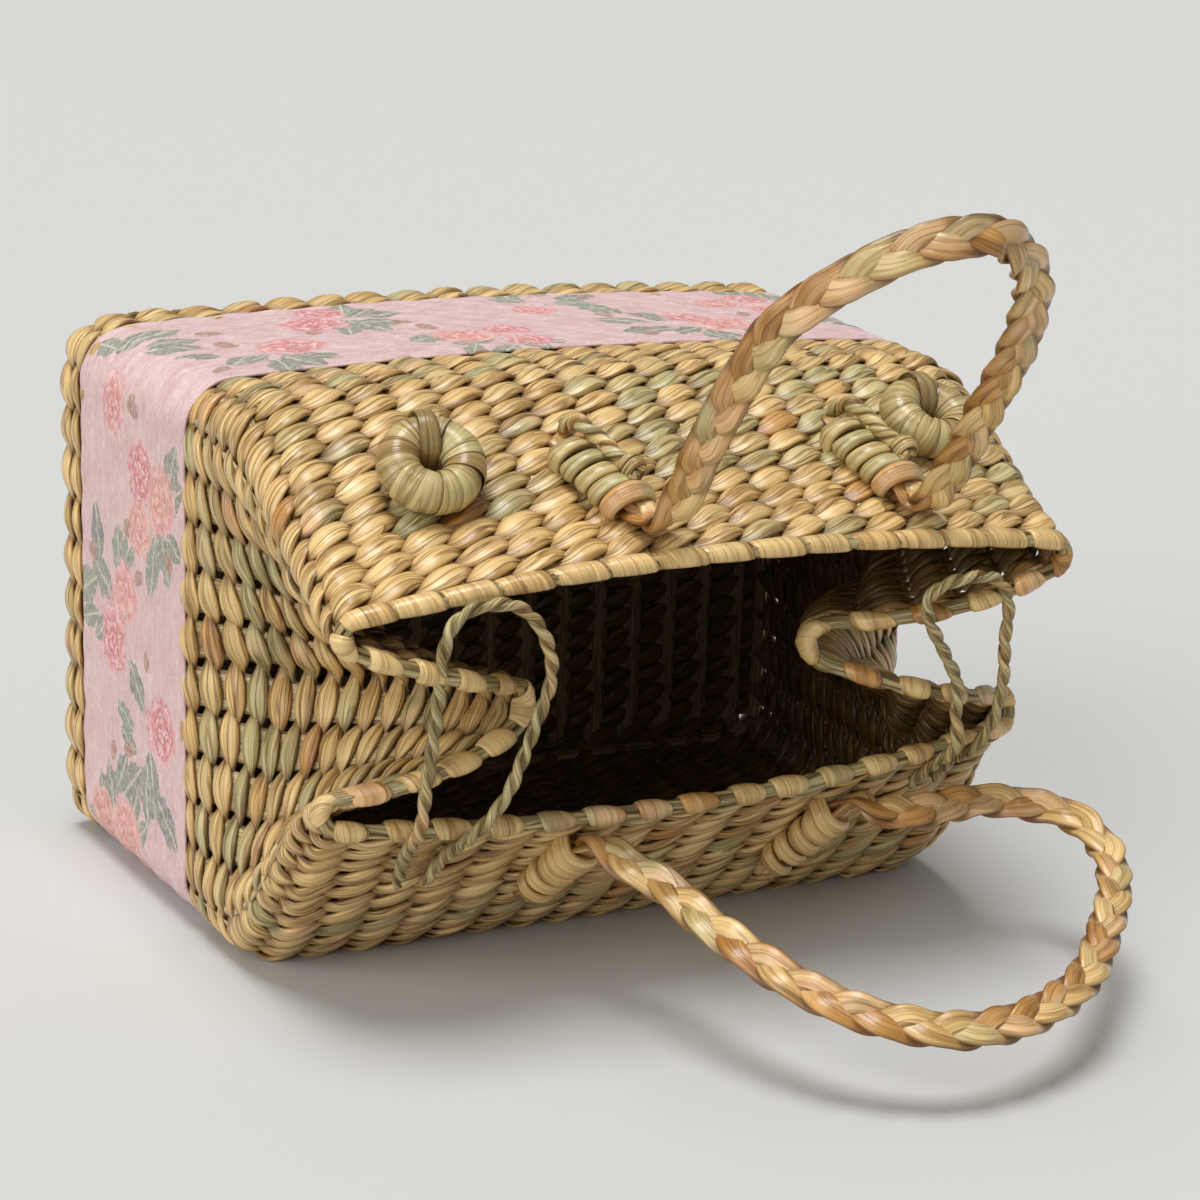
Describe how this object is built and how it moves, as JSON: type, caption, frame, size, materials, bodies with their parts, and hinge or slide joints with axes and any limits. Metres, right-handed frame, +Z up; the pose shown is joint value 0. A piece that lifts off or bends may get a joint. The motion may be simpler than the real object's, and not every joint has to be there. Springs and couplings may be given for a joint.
{
  "type": "woven picnic basket",
  "caption": "Woven seagrass picnic basket lying on one broad side, its mouth pressed together at the ends, with braided handles, ring toggles, cord loops and a printed paper band.",
  "frame": {"origin": "on the floor that the lying basket rests on, at the middle of its footprint without the two cord loops", "axes": "+Z up, X along the mouth, -Y out of the mouth, +Y out of the base"},
  "size_m": [0.3876, 0.449, 0.3566],
  "materials": {
    "seagrass_weave": "dry twined seagrass strands with a soft sheen",
    "seagrass_edge": "dry seagrass wrapped over a bundle, greener than the wall",
    "seagrass_braid": "three creased seagrass strands in a flat braid, satin",
    "seagrass_strip": "flat seagrass strips wound close, satin",
    "twisted_seagrass": "seagrass cord of two twisted strands, matt",
    "printed_paper": null
  },
  "bodies": {
    "basket": {"weave_row_01": "seagrass_weave", "weave_row_02": "seagrass_weave", "weave_row_03": "seagrass_weave", "weave_row_04": "seagrass_weave", "weave_row_05": "seagrass_weave", "weave_row_06": "seagrass_weave", "weave_row_07": "seagrass_weave", "weave_row_08": "seagrass_weave", "weave_row_09": "seagrass_weave", "weave_row_10": "seagrass_weave", "weave_row_11": "seagrass_weave", "weave_row_12": "seagrass_weave", "weave_row_13": "seagrass_weave", "weave_row_14": "seagrass_weave", "weave_row_15": "seagrass_weave", "weave_row_16": "seagrass_weave", "weave_row_17": "seagrass_weave", "weave_row_18": "seagrass_weave", "weave_row_19": "seagrass_weave", "weave_row_20": "seagrass_weave", "weave_row_21": "seagrass_weave", "weave_row_22": "seagrass_weave", "weave_row_23": "seagrass_weave", "weave_row_24": "seagrass_weave", "weave_row_25": "seagrass_weave", "weave_row_26": "seagrass_weave", "weave_row_27": "seagrass_weave", "base_mat": "seagrass_weave", "base_edge_row": "seagrass_edge", "rim_binding": "seagrass_edge", "paper_band": "printed_paper", "upper_handle_tail_left": "seagrass_braid", "upper_lashing_left": "seagrass_strip", "upper_handle_tail_right": "seagrass_braid", "upper_lashing_right": "seagrass_strip", "lower_handle_tail_left": "seagrass_braid", "lower_lashing_left": "seagrass_strip", "lower_handle_tail_right": "seagrass_braid", "lower_lashing_right": "seagrass_strip", "upper_tie_left": "twisted_seagrass", "ring_toggle_left": "seagrass_strip", "ring_winding_left": "seagrass_strip", "toggle_tie_left": "twisted_seagrass", "upper_tie_right": "twisted_seagrass", "ring_toggle_right": "seagrass_strip", "ring_winding_right": "seagrass_strip", "toggle_tie_right": "twisted_seagrass"},
    "upper_handle": {"upper_handle": "seagrass_braid"},
    "lower_handle": {"lower_handle": "seagrass_braid"},
    "closure_loop_left": {"closure_loop_left": "twisted_seagrass"},
    "closure_loop_right": {"closure_loop_right": "twisted_seagrass"}
  },
  "joints": [
    {"name": "upper_handle_swing", "type": "hinge", "parent": "basket", "child": "upper_handle", "pos_m": [-0.03135, -0.07763, 0.21191], "axis": [1, -0.0003, -0.0083], "range_deg": [-26, 70]},
    {"name": "lower_handle_swing", "type": "hinge", "parent": "basket", "child": "lower_handle", "pos_m": [-0.047, -0.06532, 0.07284], "axis": [0.9952, 0.0954, -0.02], "range_deg": [-25, 48]},
    {"name": "closure_loop_left_swing", "type": "hinge", "parent": "basket", "child": "closure_loop_left", "pos_m": [-0.11994, -0.03168, 0.05601], "axis": [1, 0, 0], "range_deg": [0, 75]},
    {"name": "closure_loop_right_swing", "type": "hinge", "parent": "basket", "child": "closure_loop_right", "pos_m": [0.12606, -0.04061, 0.07596], "axis": [1, 0, 0], "range_deg": [0, 12]}
  ]
}
